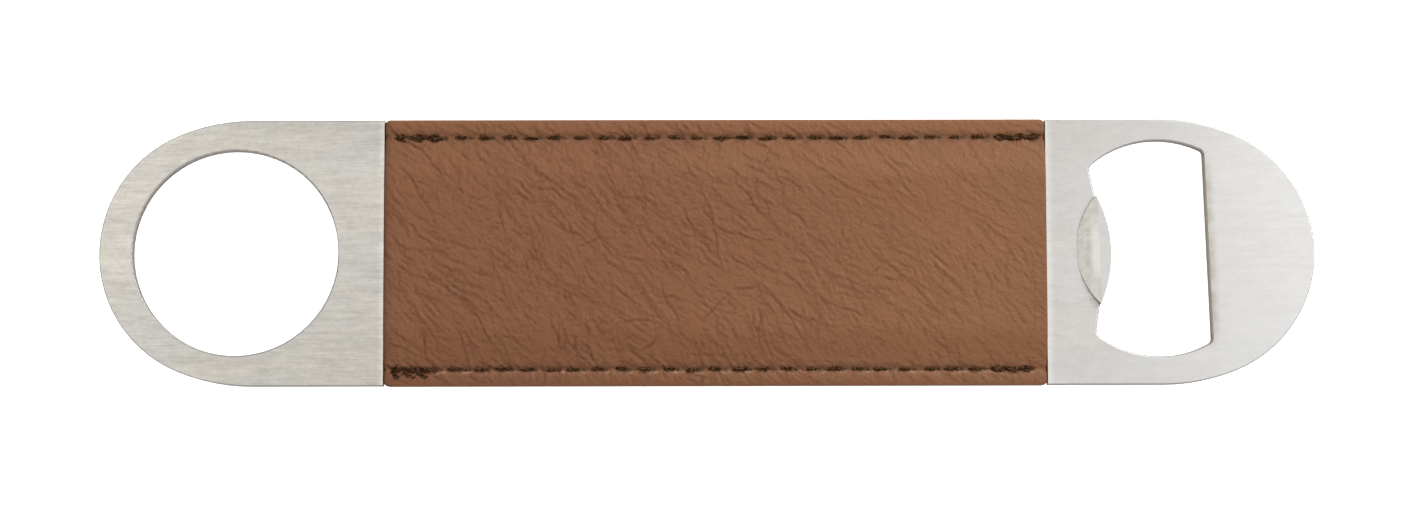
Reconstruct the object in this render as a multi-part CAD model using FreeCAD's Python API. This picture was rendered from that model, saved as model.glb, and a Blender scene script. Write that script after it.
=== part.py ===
"""Bar-blade bottle opener: a flat stainless blade with a finger hole at one end and a
cap slot with a raised tooth at the other, gripped by a sewn leatherette sleeve.

Millimetres. +X runs along the blade towards the cap slot, +Y across it, +Z up out of
the front face. The origin is the centre of the footprint, on the back of the sleeve.
"""
import FreeCAD, Part
import math
import os

# ---- driving dimensions -----------------------------------------------------------

# stack through the grip, from the back of the sleeve upwards
SKIN_T = 0.3                 # coated face of the leatherette
BACKING_T = 0.6              # woven core behind the coating
FILM_T = 0.1                 # double-sided adhesive film on the blade
BLADE_T = 2.0                # stainless plate

# blade outline
LENGTH = 177.8               # a standard seven inch bar blade
WIDTH = 39.0
END_R = 18.8                 # nose and tail round
BLEND_R = 28.0               # flatter arc that leads each straight side into the end round
EDGE_R = 0.25                # tumbled edge round the outline, the hole and the slot
WAIST_W = 24.0               # blade under the sleeve, narrow enough to sew beside it
WAIST_R = 0.5                # inner corner of the waist

# finger hole
HOLE_D = 30.0
HOLE_X = -69.0

# cap slot, drawn about its own centre (u along the blade, v across), then turned
SLOT_X = 66.0
SLOT_Y = 0.5
SLOT_TURN = 1.94             # degrees
SLOT_ARC_R = 14.9            # the two round ends of the slot
SLOT_ARC_OFFSET = 0.95       # their centres, above and below the slot's centre line
SLOT_FAR_U = 7.2             # straight edge that bears on top of the cap
SLOT_NEAR_U = -9.75          # corners beside the tooth
SLOT_FAR_R = 0.8
SLOT_NEAR_R = 1.3

# tooth: a lens pushed up out of the plate, its crest ground flat
TOOTH_TIP_U = -8.95
TOOTH_TIP_V = 7.95
TOOTH_ROOT_U = -12.1
TOOTH_EDGE_U = -7.1
TOOTH_SLOPE = 18.0           # degrees
TOOTH_CREST_U = -8.8         # where the slope meets the ground flat

# sleeve
SLEEVE_X0 = -47.3
SLEEVE_X1 = 49.5
SLEEVE_W = 39.1
SLEEVE_R = 1.0               # plan corners
SHOULDER_GAP = 0.05          # between each sleeve end and the head beside it
CAVITY_W = 24.4              # flat inside, over the waist
LIP_W = 32.2                 # where the two panels come together inside the seams

# seams: one lockstitched row along each long side
SEAM_Y = 17.0
STITCH_PITCH = 3.45
STITCH_COUNT = 27
UPPER_SEAM_X = -45.4         # first needle hole of the row at +Y
LOWER_SEAM_X = -46.0         # first needle hole of the row at -Y
THREAD_W = 0.4
THREAD_SINK = 0.2            # depth of the thread below the coated face
THREAD_RISE = 0.15           # height of a stitch above it, at mid stitch

# ---- heights that follow ------------------------------------------------------------

PANEL_T = SKIN_T + BACKING_T
BLADE_Z0 = PANEL_T + FILM_T
BLADE_Z1 = BLADE_Z0 + BLADE_T
MID_Z = (BLADE_Z0 + BLADE_Z1) / 2.0
LIFT = math.tan(math.radians(TOOTH_SLOPE))
CLEAR = 5.0                  # overrun of every cutting tool


# ---- small helpers --------------------------------------------------------------------

def vec(x, y, z=0.0):
    return FreeCAD.Vector(x, y, z)


def line(start, end):
    return Part.LineSegment(start, end).toShape()


def arc(start, through, end):
    return Part.Arc(start, through, end).toShape()


def prism(edges, direction):
    """Closed outline pushed along a direction."""
    return Part.Face(Part.Wire(edges)).extrude(direction)


def polygon(points):
    """Edges of a closed polygon."""
    closed = points + points[:1]
    return [line(a, b) for a, b in zip(closed, closed[1:])]


def upright_edges(shape, places, within=0.05):
    """The edges parallel to Z that stand at any of the given plan positions."""
    found = []
    for edge in shape.Edges:
        a = edge.Vertexes[0].Point
        b = edge.Vertexes[-1].Point
        if abs(a.x - b.x) > 1e-6 or abs(a.y - b.y) > 1e-6 or abs(a.z - b.z) < 1e-6:
            continue
        if any(math.hypot(a.x - x, a.y - y) < within for x, y in places):
            found.append(edge)
    return found


def mirror_z(shape):
    """The same shape on the other side of the blade's mid-plane."""
    return shape.mirror(vec(0, 0, MID_Z), vec(0, 0, 1))


# ---- blade ----------------------------------------------------------------------------

def blade_plate():
    """Plate with a round at each end and a straight side between the blends."""
    half = WIDTH / 2.0
    end_x = LENGTH / 2.0 - END_R
    blend_y = BLEND_R - half
    side_x = end_x - math.sqrt((BLEND_R - END_R) ** 2 - blend_y ** 2)
    to_join = math.atan2(blend_y, end_x - side_x)
    join = vec(end_x + END_R * math.cos(to_join), END_R * math.sin(to_join))
    mid_blend = (math.pi / 2.0 + to_join) / 2.0
    blend = vec(side_x + BLEND_R * math.cos(mid_blend), BLEND_R * math.sin(mid_blend) - blend_y)

    def at(point, sx, sy):
        return vec(point.x * sx, point.y * sy, BLADE_Z0)

    side = vec(side_x, half)
    tip = vec(LENGTH / 2.0, 0)
    edges = [
        line(at(side, -1, 1), at(side, 1, 1)),
        arc(at(side, 1, 1), at(blend, 1, 1), at(join, 1, 1)),
        arc(at(join, 1, 1), at(tip, 1, 1), at(join, 1, -1)),
        arc(at(join, 1, -1), at(blend, 1, -1), at(side, 1, -1)),
        line(at(side, 1, -1), at(side, -1, -1)),
        arc(at(side, -1, -1), at(blend, -1, -1), at(join, -1, -1)),
        arc(at(join, -1, -1), at(tip, -1, 1), at(join, -1, 1)),
        arc(at(join, -1, 1), at(blend, -1, 1), at(side, -1, 1)),
    ]
    return prism(edges, vec(0, 0, BLADE_T))


def waist_cut(side):
    """Bite out of one long side that leaves the waist under the sleeve."""
    x0 = SLEEVE_X0 - SHOULDER_GAP
    x1 = SLEEVE_X1 + SHOULDER_GAP
    y0 = WAIST_W / 2.0
    y1 = WIDTH / 2.0 + CLEAR
    bite = Part.makeBox(x1 - x0, y1 - y0, BLADE_T + 2 * CLEAR, vec(x0, y0, BLADE_Z0 - CLEAR))
    bite = bite.makeFillet(WAIST_R, upright_edges(bite, [(x0, y0), (x1, y0)]))
    return bite if side > 0 else bite.mirror(vec(0, 0, 0), vec(0, 1, 0))


def place_in_slot(shape):
    """From the slot's own frame to the blade's."""
    shape.rotate(vec(0, 0, 0), vec(0, 0, 1), SLOT_TURN)
    shape.translate(vec(SLOT_X, SLOT_Y, 0))
    return shape


def slot_tool():
    """Through cut of the cap slot, with a straight chord where the tooth stands."""
    z = BLADE_Z0 - CLEAR

    def on_arc(u):
        return math.sqrt(SLOT_ARC_R ** 2 - u ** 2) + SLOT_ARC_OFFSET

    top = SLOT_ARC_R + SLOT_ARC_OFFSET
    far_v = on_arc(SLOT_FAR_U)
    near_v = on_arc(SLOT_NEAR_U)
    edges = [
        line(vec(SLOT_FAR_U, -far_v, z), vec(SLOT_FAR_U, far_v, z)),
        arc(vec(SLOT_FAR_U, far_v, z), vec(0, top, z), vec(SLOT_NEAR_U, near_v, z)),
        line(vec(SLOT_NEAR_U, near_v, z), vec(TOOTH_TIP_U, TOOTH_TIP_V, z)),
        line(vec(TOOTH_TIP_U, TOOTH_TIP_V, z), vec(TOOTH_TIP_U, -TOOTH_TIP_V, z)),
        line(vec(TOOTH_TIP_U, -TOOTH_TIP_V, z), vec(SLOT_NEAR_U, -near_v, z)),
        arc(vec(SLOT_NEAR_U, -near_v, z), vec(0, -top, z), vec(SLOT_FAR_U, -far_v, z)),
    ]
    tool = prism(edges, vec(0, 0, BLADE_T + 2 * CLEAR))
    far = [(SLOT_FAR_U, far_v), (SLOT_FAR_U, -far_v)]
    near = [(SLOT_NEAR_U, near_v), (SLOT_NEAR_U, -near_v)]
    tool = tool.makeFillet(SLOT_FAR_R, upright_edges(tool, far))
    tool = tool.makeFillet(SLOT_NEAR_R, upright_edges(tool, near))
    return place_in_slot(tool)


def lens(z0, z1):
    """Plan of the tooth: an arc at its root and a flatter arc at its free edge."""
    tip_a = vec(TOOTH_TIP_U, -TOOTH_TIP_V, z0)
    tip_b = vec(TOOTH_TIP_U, TOOTH_TIP_V, z0)
    edges = [
        arc(tip_a, vec(TOOTH_EDGE_U, 0, z0), tip_b),
        arc(tip_b, vec(TOOTH_ROOT_U, 0, z0), tip_a),
    ]
    return prism(edges, vec(0, 0, z1 - z0))


def tooth():
    """The lens of plate, tilted up from its root and ground flat along its crest."""
    start = TOOTH_ROOT_U - 0.5
    end = TOOTH_EDGE_U + 0.5

    def tilted(u):
        return LIFT * (u - TOOTH_ROOT_U)

    crest_z = BLADE_Z1 + tilted(TOOTH_CREST_U)
    v = -TOOTH_TIP_V - 1.0
    side_view = [
        vec(start, v, BLADE_Z0 + tilted(start)),
        vec(end, v, BLADE_Z0 + tilted(end)),
        vec(end, v, crest_z),
        vec(TOOTH_CREST_U, v, crest_z),
        vec(start, v, BLADE_Z1 + tilted(start)),
    ]
    wedge = prism(polygon(side_view), vec(0, -2 * v, 0))
    return place_in_slot(lens(BLADE_Z0 - CLEAR, BLADE_Z1 + CLEAR).common(wedge))


def on_tooth_chord(edge):
    """True for the plate edge that the tooth replaces."""
    turn = math.radians(-SLOT_TURN)
    for vertex in edge.Vertexes:
        dx = vertex.Point.x - SLOT_X
        dy = vertex.Point.y - SLOT_Y
        u = dx * math.cos(turn) - dy * math.sin(turn)
        v = dx * math.sin(turn) + dy * math.cos(turn)
        if abs(u - TOOTH_TIP_U) > 0.01 or abs(v) > TOOTH_TIP_V + 0.01:
            return False
    return True


def face_edges(plate):
    """Every edge lying in the front or the back face, but for the tooth's chord."""
    found = []
    for edge in plate.Edges:
        levels = [vertex.Point.z for vertex in edge.Vertexes]
        for level in (BLADE_Z0, BLADE_Z1):
            if all(abs(z - level) < 1e-6 for z in levels) and not on_tooth_chord(edge):
                found.append(edge)
    return found


def make_blade():
    plate = blade_plate()
    finger_hole = Part.makeCylinder(
        HOLE_D / 2.0, BLADE_T + 2 * CLEAR, vec(HOLE_X, 0, BLADE_Z0 - CLEAR))
    plate = plate.cut(finger_hole)
    plate = plate.cut(slot_tool())
    plate = plate.makeFillet(EDGE_R, face_edges(plate))
    for side in (1, -1):
        plate = plate.cut(waist_cut(side))
    plate = plate.cut(place_in_slot(lens(BLADE_Z0 - CLEAR, BLADE_Z1 + CLEAR)))
    return plate.fuse(tooth()).removeSplitter()


# ---- sleeve ----------------------------------------------------------------------------

def panel_layer(inside, outside):
    """One layer of the front panel, between two offsets from the panel's inner face.

    Seen along the blade, a panel lies flat over the waist, comes down beside it and
    closes on the other panel, so that the seam and the lip outside it are double.
    """
    flat_y = CAVITY_W / 2.0
    lip_y = LIP_W / 2.0
    drop = BLADE_Z1 + FILM_T - MID_Z
    lean = math.tan(math.atan2(drop, lip_y - flat_y) / 2.0)

    def half_line(offset):
        shift = offset * lean
        return [
            (flat_y + shift, BLADE_Z1 + FILM_T + offset),
            (lip_y + shift, MID_Z + offset),
            (SLEEVE_W / 2.0, MID_Z + offset),
        ]

    def whole_line(offset):
        right = half_line(offset)
        left = [(-y, z) for y, z in reversed(right)]
        return left + right

    outline = whole_line(inside) + whole_line(outside)[::-1]
    section = [vec(SLEEVE_X0, y, z) for y, z in outline]
    layer = prism(polygon(section), vec(SLEEVE_X1 - SLEEVE_X0, 0, 0))
    corners = [(x, y) for x in (SLEEVE_X0, SLEEVE_X1) for y in (SLEEVE_W / 2.0, -SLEEVE_W / 2.0)]
    return layer.makeFillet(SLEEVE_R, upright_edges(layer, corners))


def needle_thread(first_x, y):
    """Thread of one row as it lies on the front: a low arch from hole to hole, with a
    leg down each hole to the mid-plane, where it locks with the thread from the back."""
    half = THREAD_W / 2.0
    face_z = MID_Z + PANEL_T
    floor_z = face_z - THREAD_SINK
    dip_z = face_z - THREAD_SINK / 2.0
    arch_z = face_z + THREAD_RISE
    holes = [first_x + k * STITCH_PITCH for k in range(STITCH_COUNT + 1)]
    y0 = y - half
    edges = [line(vec(holes[0] - half, y0, MID_Z), vec(holes[0] - half, y0, dip_z))]
    for x in holes:
        edges.append(line(vec(x - half, y0, dip_z), vec(x + half, y0, dip_z)))
        if x != holes[-1]:
            edges.append(arc(
                vec(x + half, y0, dip_z),
                vec(x + STITCH_PITCH / 2.0, y0, arch_z),
                vec(x + STITCH_PITCH - half, y0, dip_z)))
    for x in reversed(holes):
        edges.append(line(vec(x + half, y0, dip_z if x == holes[-1] else floor_z),
                          vec(x + half, y0, MID_Z)))
        edges.append(line(vec(x + half, y0, MID_Z), vec(x - half, y0, MID_Z)))
        if x != holes[0]:
            edges.append(line(vec(x - half, y0, MID_Z), vec(x - half, y0, floor_z)))
            edges.append(line(vec(x - half, y0, floor_z),
                              vec(x - STITCH_PITCH + half, y0, floor_z)))
    return prism(Part.__sortEdges__(edges), vec(0, THREAD_W, 0))


def make_film():
    """Adhesive film on the front of the waist, a little short of its edges."""
    inset = 1.0
    x0 = SLEEVE_X0 + inset
    width = WAIST_W - 2 * inset
    return Part.makeBox(SLEEVE_X1 - inset - x0, width, FILM_T, vec(x0, -width / 2.0, BLADE_Z1))


# ---- the whole opener ---------------------------------------------------------------------

def make_parts():
    upper = needle_thread(UPPER_SEAM_X, SEAM_Y)
    lower = needle_thread(LOWER_SEAM_X, -SEAM_Y)
    backing = panel_layer(0.0, BACKING_T).cut(upper).cut(lower)
    skin = panel_layer(BACKING_T, PANEL_T).cut(upper).cut(lower)
    film = make_film()
    return {
        "blade": make_blade(),
        "front_adhesive_film": film,
        "front_panel_backing": backing,
        "front_panel_skin": skin,
        "back_adhesive_film": mirror_z(film),
        "back_panel_backing": mirror_z(backing),
        "back_panel_skin": mirror_z(skin),
        "upper_needle_thread": upper,
        "upper_bobbin_thread": mirror_z(upper),
        "lower_needle_thread": lower,
        "lower_bobbin_thread": mirror_z(lower),
    }


def main():
    os.makedirs("parts", exist_ok=True)
    for name, shape in make_parts().items():
        if not shape.isValid() or len(shape.Solids) != 1:
            raise RuntimeError(f"{name} is not one valid solid")
        shape = shape.Solids[0]
        shape.exportStep(f"parts/{name}.step")
        box = shape.BoundBox
        print(f"{name}: {shape.Volume:.2f} mm3, x {box.XMin:.2f} {box.XMax:.2f}, "
              f"y {box.YMin:.2f} {box.YMax:.2f}, z {box.ZMin:.2f} {box.ZMax:.2f}")


main()
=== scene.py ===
"""Looks of the bar-blade bottle opener: brushed plate, leatherette sleeve, sewn seams.

Metres, in the CAD frame: +X towards the cap slot, +Y across the blade, +Z up. Inside the
mesh builders lengths are millimetres, and they are scaled once, when a mesh is made.
"""
import math

import bpy
import numpy as np
from mathutils import Matrix, Vector


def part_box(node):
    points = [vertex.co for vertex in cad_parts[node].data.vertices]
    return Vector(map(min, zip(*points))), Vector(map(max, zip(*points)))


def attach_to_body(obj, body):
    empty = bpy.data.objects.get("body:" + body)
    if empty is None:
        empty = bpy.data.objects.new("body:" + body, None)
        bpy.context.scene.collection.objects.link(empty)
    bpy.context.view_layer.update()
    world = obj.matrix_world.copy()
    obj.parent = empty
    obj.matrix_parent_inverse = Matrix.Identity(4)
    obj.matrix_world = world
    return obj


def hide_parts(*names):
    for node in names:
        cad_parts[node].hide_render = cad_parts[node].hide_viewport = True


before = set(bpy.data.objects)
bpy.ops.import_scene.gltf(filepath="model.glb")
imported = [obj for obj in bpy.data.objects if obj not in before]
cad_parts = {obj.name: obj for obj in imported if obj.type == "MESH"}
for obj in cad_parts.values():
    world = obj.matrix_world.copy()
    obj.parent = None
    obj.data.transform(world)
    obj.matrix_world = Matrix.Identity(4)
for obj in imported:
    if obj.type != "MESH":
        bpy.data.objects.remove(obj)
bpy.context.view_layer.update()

MM = 0.001

# ---- places, read from the frame, in millimetres ---------------------------------------


def box_mm(node):
    low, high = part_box(node)
    return np.array(low) / MM, np.array(high) / MM


SKIN_LOW, SKIN_HIGH = box_mm("front_panel_skin")
BACKING_LOW, BACKING_HIGH = box_mm("front_panel_backing")
FILM_LOW, FILM_HIGH = box_mm("front_adhesive_film")

MID_Z = BACKING_LOW[2]                       # plane where the two panels meet
SLEEVE_X = (SKIN_LOW[0], SKIN_HIGH[0])
SLEEVE_HALF = SKIN_HIGH[1]
SKIN_T = SKIN_HIGH[2] - BACKING_HIGH[2]
PANEL_T = SKIN_HIGH[2] - FILM_HIGH[2]
FLAT_H = SKIN_HIGH[2] - MID_Z                # outer face above the mid-plane, over the waist
BLADE_TOP = FILM_LOW[2]
SLOT_LEAN = math.tan(math.radians(1.94))     # the slot's straight edge leans by this much
STRIP_X = 73.35                              # where that edge crosses the centre line
SEAM_NODES = {"upper": "upper_needle_thread", "lower": "lower_needle_thread"}

# ---- sleeve shape, in millimetres ------------------------------------------------------------

CORNER_R = 0.8
ROLL_R = 0.3                                 # rounded cut edge of the skin
ROLL_DROP = 0.22
CAVITY_H = FILM_HIGH[2] - MID_Z              # inside of a panel above the mid-plane
SHOULDER_Y = 10.8                            # the panel starts to come down here
FOOT_Y = 17.2                                # and meets the other panel here
CAVITY_Y = 12.3                              # half the flat inside
CLOSED_Y = 16.2                              # inner faces touch from here outwards
GROOVE_DEPTH = 0.30                          # channel that the stitches pull in the skin
GROOVE_HALF = 0.48
PILLOW_H = 0.07                              # fullness of the margin outside it
FRAY = (0.05, 0.04)                          # of the core's cut edges: usual, and how it varies
FRAY_REACH = 0.3
SKIN_GRID = 0.215                            # mesh spacing of the skins
SWELL_H = 0.042                              # wide soft waves of the skin
SWELL_CELL = (4.6, 1.9)                      # along x - y and along x + y
SWELL_SHIFT = (184.0, 114.0)                 # picks the part of the noise
RIM_SHADE = ((0.85, 0.5), (0.15, 0.3))        # painted shade: how dark the -X and the +X end are, and its reach
CUT_WALL_DARKNESS = 0.6                              # how dark the cut walls are

# ---- wrinkles, in millimetres ----------------------------------------------------------------

# Each kind: number added to the seed, how many, shortest and longest, faintest and strongest,
# and half width.
LONG_WRINKLES = (0, 850, 1.9, 7.0, 0.15, 0.98, 0.160)
SHORT_WRINKLES = (40, 3500, 0.8, 2.6, 0.12, 0.65, 0.150)
CREASES = (80, 120, 6.0, 19.0, 0.30, 1.0, 0.165)
WRINKLE_STEP = 0.16                          # longest step along one
FEWEST_STEPS = 30
WRINKLE_HEADING = -45.0                      # degrees from +X, down to the right
WRINKLE_DEPTH = 0.17                         # of the strongest
WRINKLE_LIP = 0.105                          # fullness beside it
LIP_PLACE = 2.0                              # from the wrinkle to its lip, in half widths
LIP_WIDTH = 1.3
WRINKLE_REACH = 4.0                          # beyond this it changes nothing
TAPER_LEAN = 0.8                             # deepest a little before its middle
TAPER_ROUND = 0.7                            # and deep for most of its length
BROKEN = (0.86, 0.75)                        # depth along it: usual share, and how that varies
BROKEN_RANGE = (0.25, 1.25)
STARTS = 6                                   # tried for each one kept, to crowd them in places
CROWDING = (0.50, 0.9)                       # share of them kept: usual, and how it varies
CROWDING_RANGE = (0.22, 1.0)
FEWER = 0.35                                 # fewer by this share where the skin is stretched
FAINTER = 0.60                               # and fainter by this share
WIDE_BEND = 0.65                             # how the headings change over the skin, in radians
FINE_BEND = 0.6                              # and along one wrinkle
STRETCH_X = (-8.0, 37.0)                     # the skin gets tighter from the first to the second
STRETCH_Y = (-2.0, 10.0)
STRAY = 0.11                                 # spread of the headings, in radians
CURL = 0.06                                  # spread of their turn per millimetre
# Some wrinkles cross the others: up to this share of them, turned by this many radians.
CROSSING = ((0.025, 1.4), (0.11, -0.5), (0.18, 0.45))

# ---- seams, in millimetres -------------------------------------------------------------------

STITCHES = 27
SEAM_DRIFT = 0.17                            # both rows were sewn this much off to -Y
THREAD_HALF_NODE = 0.2                       # from the end of a thread node to its last hole
PUCKER_REACH = (-3.2, 2.6)                   # from a row, inwards and outwards
PUCKER_LEAN = 0.55                           # puckers lean along the row by this share
PUCKER_OFF = 0.70                            # deepest this far beside the row
PUCKER_WIDTH = 0.42
PUCKER_DEPTH = 0.085
PUCKER_UNEVEN = (0.7, 0.5)                   # share of that depth: usual, and how it varies
PIT_DEPTH = 0.16                             # at each needle hole
PIT_SIZE = (0.38, 0.30)                      # along and across the row
HOLE_SIZE = (0.40, 0.26)                     # painted shade: dark spot in each pit
HOLE_SHIFT = 0.12                            # towards +X
HOLE_DARK = 0.9
GROOVE_SHADE = 0.19                          # painted shade: half width of the dark line under the thread
GROOVE_DARK = (0.30, 0.5)                    # how dark it is, and how that varies
SEAM_WANDER = 0.05                           # of the line and the soil
SEAM_SHADE_DARK = {"upper": 0.40, "lower": 0.44}      # painted shade: how dark the skin is inwards of each row
SEAM_SHADE_REACH = {"upper": 0.42, "lower": 0.70}  # and how far that reaches
SEAM_SHADE_START = 0.15                            # darkest this far inwards
SEAM_SHADE_UNEVEN = (0.75, 0.7)                    # share of that darkness, and how it varies
SEAM_SHADE_OUTWARDS = 0.22                         # reach towards the row and past it
SEAM_HIGHLIGHT = {"upper": 0.22, "lower": 0.60}      # painted highlight: how pale the specks on the -Y side of each row are
HIGHLIGHT_OFF = 0.36                               # from the row to their line
HIGHLIGHT_WIDTH = 0.17
HIGHLIGHT_WANDER = 0.10
HIGHLIGHT_SHIFT = 0.25                             # the palest lie this far past each hole
HIGHLIGHT_BROKEN = (0.35, 1.6)                     # into specks: usual share, and how it varies


def seam_holes(which):
    """Needle holes of one row, along X, and the row's Y."""
    low, high = box_mm(SEAM_NODES[which])
    first = low[0] + THREAD_HALF_NODE
    last = high[0] - THREAD_HALF_NODE
    return np.linspace(first, last, STITCHES + 1), (low[1] + high[1]) / 2.0 - SEAM_DRIFT


SEAMS = {which: seam_holes(which) for which in SEAM_NODES}
PITCH = SEAMS["upper"][0][1] - SEAMS["upper"][0][0]


# ---- noise and mesh helpers ------------------------------------------------------------------

def smooth(t):
    """0 up to t = 0, 1 from t = 1 on, and smooth between them."""
    t = np.clip(t, 0.0, 1.0)
    return t * t * (3.0 - 2.0 * t)


def fade(value, low, high):
    """The same between two values."""
    return smooth((value - low) / (high - low))


def noise2(seed, x, y, cell):
    """Gradient noise, about -1 to 1, in cells of this length along x and along y."""
    rng = np.random.default_rng(seed)
    x, y = x / cell[0], y / cell[1]
    angle = rng.uniform(0, 2 * math.pi, (128, 128))
    gx, gy = np.cos(angle), np.sin(angle)
    xi, yi = np.floor(x).astype(int), np.floor(y).astype(int)
    fx, fy = x - xi, y - yi

    def corner(i, j):
        a, b = (xi + i) % 128, (yi + j) % 128
        return gx[a, b] * (fx - i) + gy[a, b] * (fy - j)

    sx, sy = smooth(fx), smooth(fy)
    low = corner(0, 0) * (1 - sx) + corner(1, 0) * sx
    high = corner(0, 1) * (1 - sx) + corner(1, 1) * sx
    return (low * (1 - sy) + high * sy) * 1.5


def noise1(seed, x, cell):
    """The same noise along one line."""
    return noise2(seed, x, x * 0, (cell, 1.0))


def mesh_object(name, points_mm, faces, material):
    mesh = bpy.data.meshes.new(name)
    mesh.from_pydata((np.asarray(points_mm) * MM).tolist(), [], faces)
    mesh.materials.append(material)
    mesh.polygons.foreach_set("use_smooth", [True] * len(mesh.polygons))
    mesh.validate()
    mesh.update()
    piece = bpy.data.objects.new(name, mesh)
    bpy.context.scene.collection.objects.link(piece)
    return piece


def attach(piece, slot, *nodes):
    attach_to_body(piece, "root")
    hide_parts(*nodes)


def point_attribute(piece, name, values):
    """One number per vertex, for the material."""
    layer = piece.data.attributes.new(name, "FLOAT", "POINT")
    layer.data.foreach_set("value", np.asarray(values, np.float32))


# ---- node materials ------------------------------------------------------------------------

RANGE_SOCKETS = ("From Min", "From Max", "To Min", "To Max")


class Graph:
    """One node material, with short calls for the nodes that it needs."""

    def __init__(self, name):
        self.material = bpy.data.materials.new(name)
        self.material.use_nodes = True
        self.tree = self.material.node_tree
        self.shader = self.tree.nodes["Principled BSDF"]
        self.place = self.tree.nodes.new("ShaderNodeTexCoord").outputs["Object"]

    def join(self, source, socket):
        """Links an output, or sets a plain value."""
        if isinstance(source, bpy.types.NodeSocket):
            self.tree.links.new(source, socket)
        else:
            socket.default_value = source

    def shade(self, **inputs):
        """Sets or links inputs of the shader, named like base_color."""
        for name, value in inputs.items():
            self.join(value, self.shader.inputs[name.replace("_", " ").title()])

    def shine(self, level):
        self.shader.inputs["Specular IOR Level"].default_value = level

    def scaled(self, per_metre, turn):
        """Coordinates that count noise cells, after a turn about Z."""
        place = self.place
        if turn:
            turned = self.tree.nodes.new("ShaderNodeMapping")
            turned.inputs["Rotation"].default_value = (0, 0, turn)
            self.join(place, turned.inputs["Vector"])
            place = turned.outputs["Vector"]
        node = self.tree.nodes.new("ShaderNodeMapping")
        node.inputs["Scale"].default_value = per_metre
        self.join(place, node.inputs["Vector"])
        return node.outputs["Vector"]

    def noise(self, per_metre, detail=2.0, rough=0.5, turn=0.0, distortion=0.0):
        """Noise from 0 to 1, with this many cells per metre along each axis."""
        node = self.tree.nodes.new("ShaderNodeTexNoise")
        node.inputs["Scale"].default_value = 1.0
        node.inputs["Detail"].default_value = detail
        node.inputs["Roughness"].default_value = rough
        node.inputs["Distortion"].default_value = distortion
        self.join(self.scaled(per_metre, math.radians(turn)), node.inputs["Vector"])
        return node.outputs["Fac"]

    def math(self, operation, a, b=0.0):
        node = self.tree.nodes.new("ShaderNodeMath")
        node.operation = operation
        self.join(a, node.inputs[0])
        self.join(b, node.inputs[1])
        return node.outputs["Value"]

    def size(self, value):
        return self.math("ABSOLUTE", value)

    def product(self, first, *others):
        for other in others:
            first = self.math("MULTIPLY", first, other)
        return first

    def total(self, first, *others):
        for other in others:
            first = self.math("ADD", first, other)
        return first

    def without(self, share):
        return self.math("SUBTRACT", 1.0, share)

    def remap(self, value, low, high, to_low=0.0, to_high=1.0):
        """Smooth fade: to_low where the value is low, to_high where it is high."""
        node = self.tree.nodes.new("ShaderNodeMapRange")
        node.interpolation_type = "SMOOTHSTEP"
        self.join(value, node.inputs["Value"])
        for name, number in zip(RANGE_SOCKETS, (low, high, to_low, to_high)):
            node.inputs[name].default_value = number
        return node.outputs["Result"]

    def mix(self, share, a, b, blend="MIX"):
        node = self.tree.nodes.new("ShaderNodeMix")
        node.data_type = "RGBA"
        node.blend_type = blend
        self.join(share, node.inputs["Factor"])
        self.join(a, node.inputs[6])
        self.join(b, node.inputs[7])
        return node.outputs[2]

    def tinted(self, colour, red, green, blue):
        """A colour times a share of each of its parts."""
        return self.mix(1.0, colour, self.vector(red, green, blue), "MULTIPLY")

    def bump(self, height, depth, strength=1.0, after=None):
        """Normals from a height, of which 1 stands this many metres tall."""
        node = self.tree.nodes.new("ShaderNodeBump")
        node.inputs["Strength"].default_value = strength
        node.inputs["Distance"].default_value = depth
        self.join(height, node.inputs["Height"])
        if after is not None:
            self.join(after, node.inputs["Normal"])
        return node.outputs["Normal"]

    def attribute(self, name):
        node = self.tree.nodes.new("ShaderNodeAttribute")
        node.attribute_name = name
        return node.outputs["Fac"]

    def axes(self, vector):
        node = self.tree.nodes.new("ShaderNodeSeparateXYZ")
        self.join(vector, node.inputs[0])
        return node.outputs

    def true_normal(self):
        return self.tree.nodes.new("ShaderNodeNewGeometry").outputs["True Normal"]

    def vector(self, x, y, z):
        node = self.tree.nodes.new("ShaderNodeCombineXYZ")
        for socket, value in zip(node.inputs, (x, y, z)):
            self.join(value, socket)
        return node.outputs[0]


def rgb(red, green, blue):
    return (red, green, blue, 1.0)


# Fades are two places or values, and then what is there at each. Places are in metres.
WALL_BY_FACING = (0.45, 0.15)                # a sheared wall, by how much it faces up or down
TUMBLED_BY_FACING = (0.99, 0.90)             # a broken edge
PRESSED_BY_FACING = (0.985, 0.965)           # the slope of the tooth
WORN_BY_X = (0.010, 0.085, 1.0, 0.32)        # strength of the brushing, coarse at the finger hole
# painted highlight: a little lighter towards the nose
NOSE_HIGHLIGHT_BY_X = (0.058, 0.090, 1.0, 1.04)
COOL_BY_X = (0.045, 0.080, 0.0, 0.6)
TAIL_SHADE = ((0.004, -0.020), (0.0, -0.060), 0.10)        # painted shade towards -Y at the -X end: by Y, by X, and how much darker
FAR_SIDE_SHADE = ((0.008, 0.018), (0.080, 0.066), 0.06)    # painted shade on the +Y side: the same, by the size of X
SLEEVE_SIDE_HIGHLIGHT = 0.22                         # painted highlight: brighter by this much in a strip beside each end of the sleeve
BESIDE_WIDTH = (1.1, 1.3)                    # of those strips, in millimetres
STRIP_START = (0.9, 0.6)                     # brownish strip beside the slot: it starts this far before STRIP_X
STRIP_WIDTH = 1.5                            # and past it, in millimetres
STRIP_HALF = (10.0, 15.0)                    # it fades out along the edge between these
STRIP_SHARE = 0.75
CREST_RISE = (0.55, 0.85)                    # painted highlight line of the tooth, above the blade

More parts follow.
